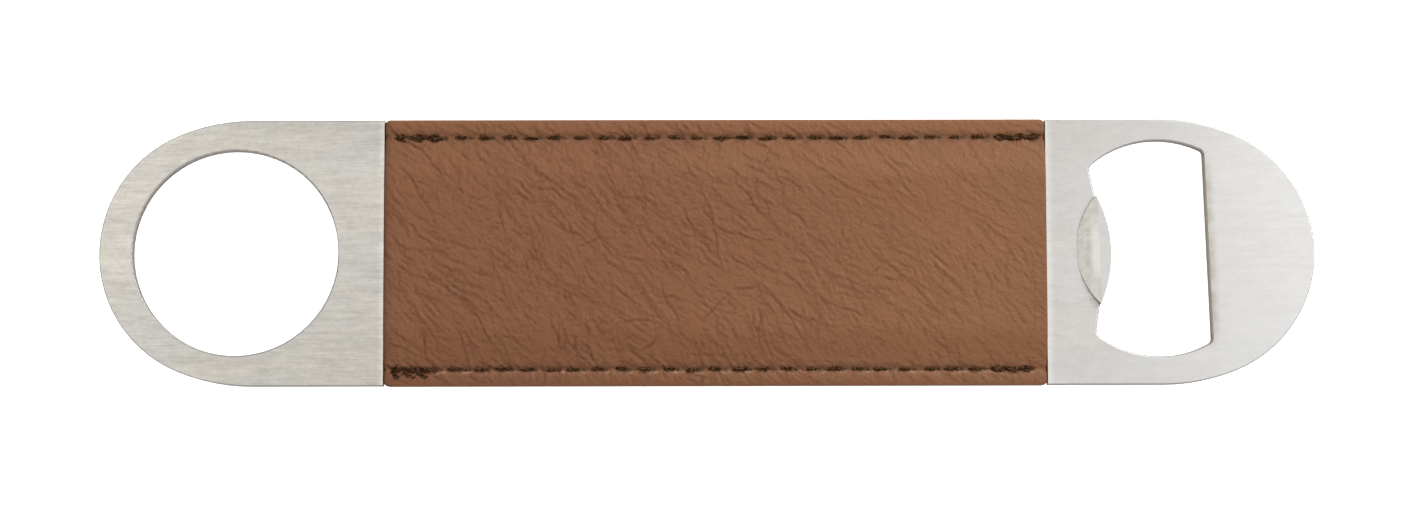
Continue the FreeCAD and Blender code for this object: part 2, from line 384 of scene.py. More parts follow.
PLATE_WARM = (0.618, 0.592, 0.553)
PLATE_PLAIN = (0.604, 0.596, 0.578)
PLATE_COOL = (0.607, 0.606, 0.604)
SLOT_EDGE_BROWN = (0.40, 0.345, 0.27)
TOOTH_DARK = (0.46, 0.450, 0.437)
TOOTH_PALE = (0.55, 0.538, 0.524)
TOOTH_HIGHLIGHT = (0.68, 0.665, 0.64)
EDGE_STEEL_SHADE = (0.36, 0.354, 0.346)
WALL_STEEL_AND_SHADE_DARK = (0.135, 0.108, 0.088)
WALL_STEEL_AND_SHADE_PALE = (0.24, 0.212, 0.182)


def steel_brushing(g):
    """The pattern of the hairlines, and how they and other marks change the brightness."""
    hair = g.noise((260, 5200, 400), detail=3, rough=0.65, distortion=0.25)
    bundle = g.noise((150, 1900, 150), detail=3, rough=0.65, distortion=0.40)
    smear = g.noise((240, 700, 300), detail=3, rough=0.6, turn=-8)
    band = g.noise((26, 240, 60), detail=2)
    speckle = g.noise((1500, 1900, 1500), detail=3, rough=0.65)
    stray = g.noise((150, 2600, 150), detail=1, turn=3.5)
    brush = g.total(g.product(hair, 0.50), g.product(bundle, 0.50))
    marks = g.total(
        g.remap(brush, 0.34, 0.66, -0.092, 0.092),
        g.remap(band, 0.35, 0.65, -0.020, 0.020),
        g.remap(smear, 0.34, 0.66, -0.040, 0.040),
        g.remap(stray, 0.66, 0.74, 0.0, -0.080),
        g.remap(speckle, 0.30, 0.70, -0.055, 0.055),
    )
    return brush, marks


def steel_brightness(g, spot, marks, worn):
    """Brushing marks, then the wide painted shade and painted highlights of the blade."""
    shade = g.total(g.product(marks, worn), 1.0)
    # painted highlight: a little lighter towards the nose
    shade = g.product(shade, g.remap(spot["X"], *NOSE_HIGHLIGHT_BY_X))
    # painted shade: darker towards -Y at the -X end, and on the +Y side
    by_y, by_x, darker = TAIL_SHADE
    painted_dark = g.product(g.remap(spot["Y"], *by_y), g.remap(spot["X"], *by_x), darker)
    shade = g.product(shade, g.without(painted_dark))
    by_y, by_x, darker = FAR_SIDE_SHADE
    painted_dark = g.product(g.remap(spot["Y"], *by_y), g.remap(g.size(spot["X"]), *by_x), darker)
    shade = g.product(shade, g.without(painted_dark))
    # painted highlight that lifts the sleeve's shade off the steel beside each end
    (start, end), (before, after) = SLEEVE_X, BESIDE_WIDTH
    left = g.remap(spot["X"], (start - before) * MM, start * MM)
    right = g.remap(spot["X"], (end + after) * MM, end * MM)
    strips = g.total(left, right, -1.0)
    return g.product(shade, g.total(g.product(strips, SLEEVE_SIDE_HIGHLIGHT), 1.0))


def slot_edge_strip(g, spot, face):
    """Share of the tint on the strip beside the slot's straight edge."""
    from_edge = g.math("SUBTRACT", spot["X"], g.product(spot["Y"], -SLOT_LEAN))
    fading = g.remap(from_edge, STRIP_X * MM, (STRIP_X + STRIP_WIDTH) * MM, 1.0, 0.0)
    starting = g.remap(from_edge, *[(STRIP_X - before) * MM for before in STRIP_START])
    along = g.remap(g.size(spot["Y"]), *[half * MM for half in STRIP_HALF], 1.0, 0.0)
    blotch = g.remap(g.noise((300, 500, 300)), 0.30, 0.60, 0.35, 1.0)
    return g.product(fading, starting, along, blotch, face, STRIP_SHARE)


def steel_material():
    """Stainless plate brushed along X, sheared walls, and a pressed tooth with a ground crest."""
    g = Graph("brushed_stainless")
    spot = g.axes(g.place)
    facing = g.size(g.axes(g.true_normal())["Z"])
    wall = g.remap(facing, *WALL_BY_FACING)
    face = g.without(wall)
    raised = g.remap(spot["Z"], (BLADE_TOP + 0.02) * MM, (BLADE_TOP + 0.08) * MM)
    pressed = g.product(raised, g.remap(facing, *PRESSED_BY_FACING))
    tumbled_and_shaded = g.product(g.remap(facing, *TUMBLED_BY_FACING), g.without(raised))
    worn = g.remap(spot["X"], *WORN_BY_X)

    # brushed plate, with faint warm and cool areas
    brush, marks = steel_brushing(g)
    shade = [steel_brightness(g, spot, marks, worn)] * 3
    patch = g.noise((60, 100, 80), detail=3, rough=0.55)
    tarnish = g.mix(g.remap(patch, 0.38, 0.62), rgb(*PLATE_WARM), rgb(*PLATE_PLAIN))
    cool = g.tinted(rgb(*PLATE_COOL), *shade)
    colour = g.mix(g.remap(spot["X"], *COOL_BY_X), g.tinted(tarnish, *shade), cool)
    # brownish strip beside the slot's straight edge
    colour = g.mix(slot_edge_strip(g, spot, face), colour, rgb(*SLOT_EDGE_BROWN))

    # tooth: coined mottle on the slope, a painted highlight line before the crest
    mottle = g.noise((900, 900, 900), detail=3, rough=0.6)
    slope = g.mix(g.remap(mottle, 0.35, 0.65), rgb(*TOOTH_DARK), rgb(*TOOTH_PALE))
    # painted highlight where the slope catches the light
    painted_highlight = g.remap(spot["Z"], *[(BLADE_TOP + rise) * MM for rise in CREST_RISE])
    middle = g.remap(g.size(spot["Y"]), 2.0 * MM, 6.0 * MM, 0.8, 0.1)
    slope = g.mix(g.product(painted_highlight, middle), slope, rgb(*TOOTH_HIGHLIGHT))
    colour = g.mix(pressed, colour, slope)

    sheared = g.noise((2600, 2600, 300))
    # painted shade on the broken edges; their extra roughness is their own
    colour = g.mix(tumbled_and_shaded, colour, rgb(*EDGE_STEEL_SHADE))
    # sheared walls: partly the steel's own rough grey, partly painted shade
    colour = g.mix(wall, colour, g.mix(sheared, rgb(*WALL_STEEL_AND_SHADE_DARK), rgb(*WALL_STEEL_AND_SHADE_PALE)))

    rough = g.remap(brush, 0.34, 0.66, 0.40, 0.31)
    rough = g.total(rough, g.product(pressed, 0.06), g.product(tumbled_and_shaded, 0.30))

    lines = g.product(brush, worn, g.product(g.without(pressed), face))
    relief = g.bump(lines, 0.000011)
    relief = g.bump(g.product(mottle, pressed), 0.00004, 0.5, after=relief)
    relief = g.bump(g.product(sheared, wall), 0.00004, after=relief)
    g.shade(base_color=colour, roughness=rough, metallic=1.0, anisotropic=0.6,
            normal=relief, tangent=g.vector(0.0, face, wall))
    return g.material


LEATHER_RED = (0.1805, 0.0712, 0.0306)
LEATHER_YELLOW = (0.1755, 0.0727, 0.0315)
LEATHER_FOLD_SHADE = (0.084, 0.0205, 0.0050)
# painted highlight beside the stitches
LEATHER_HIGHLIGHT = (0.42, 0.27, 0.19)
# painted shade at the seams and the ends, and the dark of the cut walls
LEATHER_SHADE_AND_CUT_EDGE = (0.038, 0.015, 0.007)
FOLD_SHADE_SHARE = 0.74
SLEEVE_LIGHT_X = (-0.030, 0.055)                     # painted light: paler and yellower towards +X, along the sleeve, in metres
SLEEVE_LIGHT_SHARES = ((0.955, 1.065), (0.935, 1.105), (0.905, 1.055))   # red, green and blue
# painted shade on the -Y margin and painted light on the +Y margin
NEAR_MARGIN_SHADE_BY_Y = (-0.0183, -0.0174, 0.88, 1.0)
FAR_MARGIN_LIGHT_BY_Y = (0.0174, 0.0183, 1.0, 1.03)
PEBBLE_HEIGHT = 0.155                        # millimetres
GRAIN_HEIGHT = 0.075


def leather_material():
    """Coated leatherette: warm brown, with a fine pebbled grain between its wrinkles."""
    g = Graph("brown_leatherette")
    spot = g.axes(g.place)
    cloud = g.noise((40, 50, 40))
    hue = g.noise((70, 90, 70))
    pebble = g.noise((1500, 1600, 1500), turn=46)
    grain = g.noise((2900, 2900, 2900))

    colour = g.mix(g.remap(hue, 0.3, 0.7), rgb(*LEATHER_RED), rgb(*LEATHER_YELLOW))
    # random cloudy tone, with the painted shade and painted light of the margins
    light = g.product(
        g.remap(cloud, 0.3, 0.7, 0.97, 1.03),
        g.remap(spot["Y"], *NEAR_MARGIN_SHADE_BY_Y),
        g.remap(spot["Y"], *FAR_MARGIN_LIGHT_BY_Y),
    )
    colour = g.tinted(colour, light, light, light)
    # painted light: paler and yellower towards +X
    colour = g.tinted(colour, *[g.remap(spot["X"], *SLEEVE_LIGHT_X, *ends) for ends in SLEEVE_LIGHT_SHARES])
    # painted shade in the wrinkles
    colour = g.mix(g.product(g.attribute("fold"), FOLD_SHADE_SHARE), colour, rgb(*LEATHER_FOLD_SHADE))
    # painted highlight: pale specks beside the stitches
    colour = g.mix(g.attribute("painted_highlight"), colour, rgb(*LEATHER_HIGHLIGHT))
    # painted shade at the seams and the ends, and the dark cut walls
    colour = g.mix(g.attribute("edge"), colour, rgb(*LEATHER_SHADE_AND_CUT_EDGE))

    height = g.total(g.product(pebble, PEBBLE_HEIGHT), g.product(grain, GRAIN_HEIGHT))
    rough = g.remap(grain, 0.3, 0.7, 0.52, 0.64)
    g.shade(base_color=colour, roughness=rough, normal=g.bump(height, MM))
    g.shine(0.28)
    return g.material


def backing_material():
    """Brown woven core, seen at the cut edges."""
    g = Graph("woven_core")
    fibre = g.noise((2500, 2500, 9000), detail=3, rough=0.65)
    colour = g.mix(g.remap(fibre, 0.3, 0.7), rgb(0.050, 0.024, 0.014), rgb(0.120, 0.058, 0.032))
    g.shade(base_color=colour, roughness=0.9, normal=g.bump(fibre, 0.00008))
    g.shine(0.2)
    return g.material


def thread_material():
    """Very dark brown spun polyester."""
    g = Graph("seam_thread")
    fibre = g.noise((1900, 5200, 5200))
    colour = g.mix(g.remap(fibre, 0.40, 0.72), rgb(0.022, 0.0085, 0.0025), rgb(0.160, 0.086, 0.043))
    g.shade(base_color=colour, roughness=0.9, normal=g.bump(fibre, 0.00002))
    g.shine(0.03)
    return g.material


def film_material():
    """Hidden adhesive film."""
    g = Graph("adhesive_film")
    haze = g.noise((400, 400, 400))
    g.shade(base_color=g.mix(haze, rgb(0.74, 0.71, 0.62), rgb(0.80, 0.78, 0.70)), roughness=0.45)
    return g.material


STEEL = steel_material()
LEATHER = leather_material()
BACKING = backing_material()
THREAD = thread_material()
FILM = film_material()


# ---- sleeve panels ----------------------------------------------------------------------------

def outer_profile(y):
    """Outer face of a panel above the mid-plane, across the blade, seam groove included."""
    across = np.abs(y)
    seam_y = np.where(y < 0, -SEAMS["lower"][1], SEAMS["upper"][1])
    flat = FLAT_H - 0.03 * smooth(across / SHOULDER_Y)
    down = smooth((across - SHOULDER_Y) / (FOOT_Y - SHOULDER_Y))
    height = flat * (1 - down) + (PANEL_T - 0.02) * down
    groove = np.exp(-((across - seam_y) / GROOVE_HALF) ** 2)
    margin = smooth((across - seam_y - 0.3) / 0.7) * smooth((SLEEVE_HALF - across) / 0.8)
    return height - GROOVE_DEPTH * groove + PILLOW_H * margin


def inner_profile(y):
    """Inner face of a panel: flat over the waist, then down to the other panel."""
    across = np.abs(y)
    down = smooth((across - CAVITY_Y) / (CLOSED_Y - CAVITY_Y))
    return CAVITY_H * (1 - down) + 0.004


def stretched(x, y):
    """1 where the skin was pulled tight, in the +X +Y quarter, and 0 towards the -X end."""
    return fade(x, *STRETCH_X) * (0.5 + 0.5 * fade(y, *STRETCH_Y))


def wrinkle_lines(seed, count, shortest, longest):
    """Centre lines of wrinkles, followed all at once: X and Y, each as (step, wrinkle), and
    how deep each wrinkle is, 0 to 1."""
    rng = np.random.default_rng(seed)
    steps = max(FEWEST_STEPS, int(longest / WRINKLE_STEP))
    tries = STARTS * count
    x = rng.uniform(SLEEVE_X[0] - 2.0, SLEEVE_X[1] + 2.0, tries)
    y = rng.uniform(-SLEEVE_HALF, SLEEVE_HALF, tries)
    usual, varying = CROWDING
    crowd = usual + varying * noise2(seed + 1, x, y, cell=(12.0, 9.0))
    crowd = np.clip(crowd, *CROWDING_RANGE) * (1 - FEWER * stretched(x, y))
    chosen = np.flatnonzero(rng.uniform(size=tries) < crowd)[:count]
    x, y = x[chosen], y[chosen]

    stray = rng.normal(0, STRAY, len(chosen))
    crossing = rng.uniform(size=len(chosen))
    stray += np.select([crossing < share for share, _ in CROSSING], [turn for _, turn in CROSSING], 0.0)
    curl = rng.normal(0, CURL, len(chosen)) * min(1.0, 7.0 / longest)
    step = rng.uniform(0, 1, len(chosen)) ** 1.6 * (longest - shortest) / steps
    step += shortest / steps
    xs, ys = [x], [y]
    for k in range(steps):
        heading = math.radians(WRINKLE_HEADING) + stray + curl * k * step
        heading += WIDE_BEND * noise2(seed + 2, x, y, cell=(15.0, 12.0))
        heading += FINE_BEND * noise2(seed + 3, x, y, cell=(1.2, 1.2))
        x, y = x + step * np.cos(heading), y + step * np.sin(heading)
        xs.append(x)
        ys.append(y)
    deep = rng.uniform(0, 1, len(chosen)) * (1 - FAINTER * stretched(xs[0], ys[0]))
    return np.array(xs), np.array(ys), deep


def press_wrinkles(x, y, fold, lip, lines, weakest, deepest, half_width):
    """Adds the wrinkles along some lines: fold is 1 at the bottom of the deepest one, and
    lip the fullness of the skin along one side of each."""
    line_x, line_y, deep = lines
    along = np.linspace(0, 1, len(line_x))
    taper = np.sin(math.pi * along ** TAPER_LEAN) ** TAPER_ROUND
    reach = WRINKLE_REACH * half_width
    for px, py, share in zip(line_x.T, line_y.T, deep):
        i0, i1 = np.searchsorted(x[:, 0], (px.min() - reach, px.max() + reach))
        j0, j1 = np.searchsorted(y[0], (py.min() - reach, py.max() + reach))
        if i1 - i0 < 2 or j1 - j0 < 2:
            continue
        dx = x[i0:i1, j0:j1, None] - px
        dy = y[i0:i1, j0:j1, None] - py
        gap = dx ** 2 + dy ** 2
        nearest = gap.argmin(axis=-1)
        gap = np.sqrt(np.take_along_axis(gap, nearest[..., None], -1)[..., 0])
        nearest_dx = np.take_along_axis(dx, nearest[..., None], -1)[..., 0]
        nearest_dy = np.take_along_axis(dy, nearest[..., None], -1)[..., 0]
        side = np.gradient(px)[nearest] * nearest_dy - np.gradient(py)[nearest] * nearest_dx
        strength = (weakest + (deepest - weakest) * share) * taper[nearest]
        groove = strength * np.exp(-(gap / half_width) ** 2)
        past_lip = (gap - LIP_PLACE * half_width) / (LIP_WIDTH * half_width)
        full = strength * np.exp(-past_lip ** 2) * (side > 0)
        fold[i0:i1, j0:j1] = np.maximum(fold[i0:i1, j0:j1], groove)
        lip[i0:i1, j0:j1] = np.maximum(lip[i0:i1, j0:j1], full)


def leather_wrinkles(seed, x, y):
    """Fold depth and lip height of all the wrinkles, 0 to 1."""
    fold = np.zeros_like(x)
    lip = np.zeros_like(x)
    for shift, count, shortest, longest, *look in (LONG_WRINKLES, CREASES, SHORT_WRINKLES):
        lines = wrinkle_lines(seed + shift, count, shortest, longest)
        press_wrinkles(x, y, fold, lip, lines, *look)
    usual, varying = BROKEN
    broken = usual + varying * noise2(seed + 70, x, y, cell=(0.62, 0.62))
    return fold * np.clip(broken, *BROKEN_RANGE), lip


def seam_pull(x, y):
    """How the stitches pucker the skin: pits at the holes, dips beside them."""
    pull = np.zeros_like(x)
    inwards, outwards = PUCKER_REACH
    for holes, row_y in SEAMS.values():
        off = y - row_y
        side = off * np.sign(row_y)
        near = (side > inwards) & (side < outwards)
        inside_rows = (x > holes[0] - 1.0) & (x < holes[-1] + 1.0)
        phase = 2 * math.pi * (x - holes[0] + PUCKER_LEAN * off) / PITCH
        ridge = np.exp(-((np.abs(off) - PUCKER_OFF) / PUCKER_WIDTH) ** 2)
        usual, varying = PUCKER_UNEVEN
        uneven = usual + varying * noise2(71, x, y, cell=(2.3, 2.3))
        pull -= near * inside_rows * PUCKER_DEPTH * uneven * (1 + np.cos(phase)) * ridge
        nearest = np.abs(x[..., None] - holes).min(axis=-1)
        pull -= PIT_DEPTH * np.exp(-(nearest / PIT_SIZE[0]) ** 2 - (off / PIT_SIZE[1]) ** 2)
    return pull


def seam_shadow(x, y):
    """Painted shade on the skin in the needle holes, along the groove and inwards of it, 0 to 1."""
    dark = np.zeros_like(x)
    for which, (holes, row_y) in SEAMS.items():
        off = y - row_y + SEAM_WANDER * noise1(81, x, cell=0.9)
        past_start = -off * np.sign(row_y) - SEAM_SHADE_START
        nearest = np.abs(x[..., None] - holes - HOLE_SHIFT).min(axis=-1)
        on_row = smooth((x - holes[0] + 1.0) / 1.0) * smooth((holes[-1] + 1.0 - x) / 1.0)
        sunk = GROOVE_DARK[0] + GROOVE_DARK[1] * noise1(83, x, cell=0.8)
        dark = np.maximum(dark, on_row * sunk * np.exp(-(off / GROOVE_SHADE) ** 2))
        uneven = SEAM_SHADE_UNEVEN[0] + SEAM_SHADE_UNEVEN[1] * noise2(82, x, y, cell=(1.6, 0.8))
        # painted shade inwards of the row
        seam_shade = SEAM_SHADE_DARK[which] * uneven
        tail = np.where(past_start > 0, SEAM_SHADE_REACH[which], SEAM_SHADE_OUTWARDS)
        dark = np.maximum(dark, on_row * seam_shade * np.exp(-np.abs(past_start) / tail))
        hole = np.exp(-(nearest / HOLE_SIZE[0]) ** 2 - (off / HOLE_SIZE[1]) ** 2)
        dark = np.maximum(dark, HOLE_DARK * hole)
    return np.clip(dark, 0, 1)


def seam_highlight(x, y):
    """Painted highlight: pale specks where the skin swells beside the stitches, 0 to 1."""
    pale = np.zeros_like(x)
    for which, (holes, row_y) in SEAMS.items():
        off = y - row_y + HIGHLIGHT_OFF + HIGHLIGHT_WANDER * noise1(91, x, cell=1.1)
        phase = 2 * math.pi * (x - holes[0] - HIGHLIGHT_SHIFT) / PITCH
        inside_rows = (x > holes[0] - 0.5) & (x < holes[-1] + 0.5)
        speck = HIGHLIGHT_BROKEN[0] + HIGHLIGHT_BROKEN[1] * noise2(92, x, y, cell=(0.55, 0.3))
        speck = np.clip(speck, 0, 1)
        speck *= (0.55 + 0.45 * np.cos(phase)) * np.exp(-(off / HIGHLIGHT_WIDTH) ** 2)
        pale += inside_rows * SEAM_HIGHLIGHT[which] * speck
    return np.clip(pale, 0, 1)


def spaced(stops):
    """Coordinates through (place, step towards the next place) stops."""
    values = []
    for (start, step), (end, _) in zip(stops, stops[1:]):
        count = max(1, int(round((end - start) / step)))
        values += list(np.linspace(start, end, count, endpoint=False))
    return np.array(values + [stops[-1][0]])


def panel_grid(x_step, y_step, edge_step):
    """Rows across and columns along a panel, closer together at its edges and seams."""
    x0, x1 = SLEEVE_X
    xs = spaced([(x0, edge_step), (x0 + 0.4, x_step), (x1 - 0.4, edge_step), (x1, 0)])
    half = spaced([(0, y_step), (15.0, y_step * 0.8), (16.3, y_step * 0.5), (17.7, y_step * 0.8),
                   (SLEEVE_HALF - 0.4, edge_step), (SLEEVE_HALF, 0)])
    ys = np.concatenate([-half[:0:-1], half])
    return np.meshgrid(xs, ys, indexing="ij")


def rounded_plan(x, y):
    """Pulls the ends of the outer rows in, so that the panel's corners are round."""
    x0, x1 = SLEEVE_X
    over = np.clip(np.abs(y) - (SLEEVE_HALF - CORNER_R), 0, CORNER_R)
    inset = CORNER_R - np.sqrt(CORNER_R ** 2 - over ** 2)
    share = (x - x0) / (x1 - x0)
    return x0 + inset + share * (x1 - x0 - 2 * inset)


def edge_distance(x, y):
    x0, x1 = SLEEVE_X
    return np.minimum(np.minimum(x - x0, x1 - x), SLEEVE_HALF - np.abs(y))


def closed_panel(name, x, y, outer, inner, side, material):
    """Closed shell between two height fields on one grid. side is +1 in front, -1 behind.

    The inner face only bends across the blade, so it needs no columns between its ends.
    """
    nx, ny = x.shape
    top = np.stack([x, y, MID_Z + side * outer], axis=-1).reshape(-1, 3)
    bottom = np.stack([x, y, MID_Z + side * inner], axis=-1).reshape(-1, 3)
    ring_rows = [(i, 0) for i in range(nx)] + [(nx - 1, j) for j in range(1, ny)]
    ring_rows += [(i, ny - 1) for i in range(nx - 2, -1, -1)] + [(0, j) for j in range(ny - 2, 0, -1)]
    low_index = {}
    low_points = []
    for i, j in ring_rows:
        low_index[i, j] = nx * ny + len(low_points)
        low_points.append(bottom[i * ny + j])
    faces = []
    for i in range(nx - 1):
        for j in range(ny - 1):
            a = i * ny + j
            faces.append((a, a + ny, a + ny + 1, a + 1))
    for (i, j), (k, m) in zip(ring_rows, ring_rows[1:] + ring_rows[:1]):
        faces.append((i * ny + j, low_index[i, j], low_index[k, m], k * ny + m))
    first = [low_index[i, 0] for i in range(nx)]
    last = [low_index[i, ny - 1] for i in range(nx)]
    faces.append(tuple([low_index[0, 1]] + [low_index[nx - 1, 1]] + first[::-1]))
    for j in range(1, ny - 2):
        near, far = low_index[0, j], low_index[nx - 1, j]
        faces.append((near, low_index[0, j + 1], low_index[nx - 1, j + 1], far))
    faces.append(tuple(last + [low_index[nx - 1, ny - 2], low_index[0, ny - 2]]))
    if side < 0:
        faces = [face[::-1] for face in faces]
    return mesh_object(name, np.concatenate([top, np.array(low_points)]), faces, material)


def make_skin(name, side, seed, node):
    x, y = panel_grid(SKIN_GRID, SKIN_GRID, 0.09)
    calm = smooth(edge_distance(x, y) / 0.8)
    fold, lip = leather_wrinkles(seed, x, y)
    fold *= 0.3 + 0.7 * calm
    swell = SWELL_H * noise2(seed + 60, x - y + SWELL_SHIFT[0], x + y + SWELL_SHIFT[1], SWELL_CELL)
    roll = np.clip(1 - edge_distance(x, y) / ROLL_R, 0, 0.999)
    rolled = ROLL_DROP * (1 - np.sqrt(1 - roll ** 2))
    outer = outer_profile(y) - 0.03 + swell - WRINKLE_DEPTH * fold + WRINKLE_LIP * lip * calm
    outer += seam_pull(x, y) - rolled
    inner = outer_profile(y) - SKIN_T
    outer = np.maximum(outer, inner + 0.06)
    if side < 0:
        outer = np.minimum(outer, FLAT_H)    # pressed flat where it rests
    piece = closed_panel(name, rounded_plan(x, y), y, outer, inner, side, LEATHER)

    # the walls and the inner face have vertices of their own, after those of the grid
    spare = len(piece.data.vertices) - x.size
    start, end = SLEEVE_X
    (dark_start, start_reach), (dark_end, end_reach) = RIM_SHADE
    # painted shade at both ends, much darker at the -X end
    rim = dark_start * np.exp((start - x) / start_reach) + dark_end * np.exp((x - end) / end_reach)
    dark = np.maximum(rim, seam_shadow(x, y))
    # for the material: wrinkle depth, painted shade with the dark cut walls, painted highlight beside
    # the stitches
    for attribute, values, elsewhere in (
            ("fold", fold, 0.0), ("edge", dark, CUT_WALL_DARKNESS), ("painted_highlight", seam_highlight(x, y), 0.0)):
        point_attribute(piece, attribute, np.concatenate([values.ravel(), np.full(spare, elsewhere)]))
    attach(piece, "leatherette", node)


def make_backing(name, side, seed, node):
    x, y = panel_grid(1.2, 0.6, 0.2)
    outer = outer_profile(y) - SKIN_T - 0.01
    inner = inner_profile(y)
    frayed = FRAY[0] + FRAY[1] * noise2(seed, x, y, cell=(0.7, 0.7))
    frayed *= smooth(1 - edge_distance(x, y) / FRAY_REACH)
    start, end = SLEEVE_X
    at_end = np.minimum(x - start, end - x) < FRAY_REACH
    at_side = SLEEVE_HALF - np.abs(y) < FRAY_REACH
    x_in = rounded_plan(x, y) - frayed * np.sign(x - (start + end) / 2) * at_end
    y_in = y - frayed * np.sign(y) * at_side
    piece = closed_panel(name, x_in, y_in, np.maximum(outer, inner + 0.1), inner, side, BACKING)
    attach(piece, "backing", node)


# ---- seams -----------------------------------------------------------------------------------

PLIES = 3
PLY_R = 0.085
TWIST_R = 0.110
TWIST_PITCH = 1.1
TWIST_SLIP = 0.35                            # of a turn, by which a ply strays
TWIST_UNEVEN = 0.55                          # share by which its radius varies
THREAD_STEP = 0.10
FULL_FROM = (0.40, 0.60)                     # where a stitch begins to stand proud, by its length
LOW_START = (-0.30, -0.14)                   # height of its start above the groove
HOLE_SINK = 0.6                              # how far it dips at the holes
BOW = 0.14                                   # of a stitch towards +Y, at most
WANDER = 0.12                                # of a stitch to either side of the row
HOLE_SCATTER = 0.16                          # of the holes along the row
TACK_SCATTER = 0.35
TACK_SLANT = 0.5
FUZZ_R = 0.020                               # loose fibres
FUZZ_LENGTH = (0.35, 1.0)
FUZZ_CURL = 2.2                              # radians, at most, either way
FUZZ_RISE = 0.10
FUZZ_PER_STITCH = 18
FUZZ_PER_TACK = 34
BODY_SLANT = 0.16                            # of each stitch, across the row
BODY_LIFT = 0.17                             # of the fullest part of a stitch, above the groove
TACK_LIFT = 0.16
# Passes that lock the -X end and then the +X end of each row. They run over the outermost
# three holes. The numbers are how far past the first and the last of these three they start
# and stop, along X, and how far each pass lies from the row.
TACKS = {
    "upper": ((-0.7, -0.9, (-0.20, 0.06, 0.30)), (0.5, 0.9, (-0.22, 0.04, 0.28))),
    "lower": ((-0.5, -1.7, (-0.72, -0.36, 0.0, 0.30)), (0.4, 0.0, (-0.20, 0.14))),
}


def tube(path, radius, sides=6):
    """Points and faces of a round tube along a path, closed at both ends."""
    heading = np.gradient(path, axis=0)
    heading /= np.linalg.norm(heading, axis=1)[:, None]
    level = np.cross(heading, [0.0, 0.0, 1.0])
    flat = np.linalg.norm(level, axis=1)[:, None]
    level = np.where(flat > 1e-6, level / np.maximum(flat, 1e-6), [0.0, 1.0, 0.0])
    upright = np.cross(level, heading)
    turn = np.linspace(0, 2 * math.pi, sides, endpoint=False)[None, :, None]
    ring = radius * (np.cos(turn) * level[:, None] + np.sin(turn) * upright[:, None])
    points = (path[:, None] + ring).reshape(-1, 3)
    faces = []
    for i in range(len(path) - 1):
        for j in range(sides):
            a, b = i * sides + j, i * sides + (j + 1) % sides
            faces.append((a, b, b + sides, a + sides))
    faces.append(tuple(range(sides))[::-1])
    faces.append(tuple((len(path) - 1) * sides + j for j in range(sides)))
    return points, faces


def even_steps(path, step):
    """The same path, with points an even distance apart."""
    run = np.concatenate([[0], np.cumsum(np.linalg.norm(np.diff(path, axis=0), axis=1))])
    places = np.linspace(0, run[-1], max(2, int(run[-1] / step)))
    return np.stack([np.interp(places, run, path[:, k]) for k in range(3)], axis=1)


def stitch_path(holes, row_y, slant, lift, rng):
    """Line of one thread: out of each hole just above the skin, fuller towards the next
    hole, and steeply down into it."""
    bed = outer_profile(np.array([row_y]))[0]
    line = []
    for start, end in zip(holes, holes[1:]):
        t = np.linspace(0, 1, 48, endpoint=False)
        x = start + t * (end - start)
        full = rng.uniform(*FULL_FROM)
        high = lift * rng.uniform(0.7, 1.3)
        low = rng.uniform(*LOW_START)
        rise = smooth((t - full + 0.18) / 0.26) * smooth((0.97 - t) / 0.12)
        down = smooth(t / 0.08) * smooth((1 - t) / 0.08)
        z = bed - HOLE_SINK * (1 - down) + low + (high - low) * rise
        bow = rng.uniform(0.0, BOW) * np.sin(math.pi * t)
        y = row_y + slant * (t - 0.5) + bow + rng.uniform(-WANDER, WANDER)
        line.append(np.stack([x, y, z], axis=1))
    return even_steps(np.concatenate(line), THREAD_STEP)


def twisted(path, row_y, rng):
    """The plies of a thread, wound unevenly round its line and looser where it stands proud."""
    bed = outer_profile(np.array([row_y]))[0]
    run = np.concatenate([[0], np.cumsum(np.linalg.norm(np.diff(path, axis=0), axis=1))])
    heading = np.gradient(path, axis=0)
    heading /= np.linalg.norm(heading, axis=1)[:, None]
    level = np.cross(heading, [0.0, 0.0, 1.0])
    level /= np.maximum(np.linalg.norm(level, axis=1)[:, None], 1e-6)
    upright = np.cross(level, heading)
    seed = int(rng.integers(1000))
    plies = []
    for k in range(PLIES):
        slip = TWIST_SLIP * noise1(seed + k, run, cell=1.7)
        loose = TWIST_R * (1 + TWIST_UNEVEN * noise1(seed + 10 + k, run, cell=0.9))[:, None]
        loose *= (0.7 + 0.6 * smooth((path[:, 2] - bed + 0.15) / 0.25))[:, None]
        turn = 2 * math.pi * (run / TWIST_PITCH + k / PLIES + slip)
        plies.append(path + loose * (np.cos(turn)[:, None] * level + np.sin(turn)[:, None] * upright))
    return plies


def fuzz(path, row_y, count, spread, rng):
    """Loose fibres that curl out of a thread, close to the skin."""
    bed = outer_profile(np.array([row_y]))[0]
    shown = path[path[:, 2] > bed - 0.08]
    fibres = []
    for start in shown[rng.integers(len(shown), size=count)]:
        length = rng.uniform(*FUZZ_LENGTH)
        heading = rng.choice([0.0, math.pi]) + rng.normal(0, spread)
        curl = rng.uniform(-FUZZ_CURL, FUZZ_CURL)
        t = np.linspace(0, 1, 6)
        turn = heading + curl * t
        x = start[0] + np.cumsum(np.cos(turn)) * length / 6
        y = start[1] + np.cumsum(np.sin(turn)) * length / 6
        z = start[2] + FUZZ_RISE * (np.sin(math.pi * t * rng.uniform(0.5, 1.0)) - t)
        fibres.append(np.stack([x, y, z], axis=1))
    return fibres


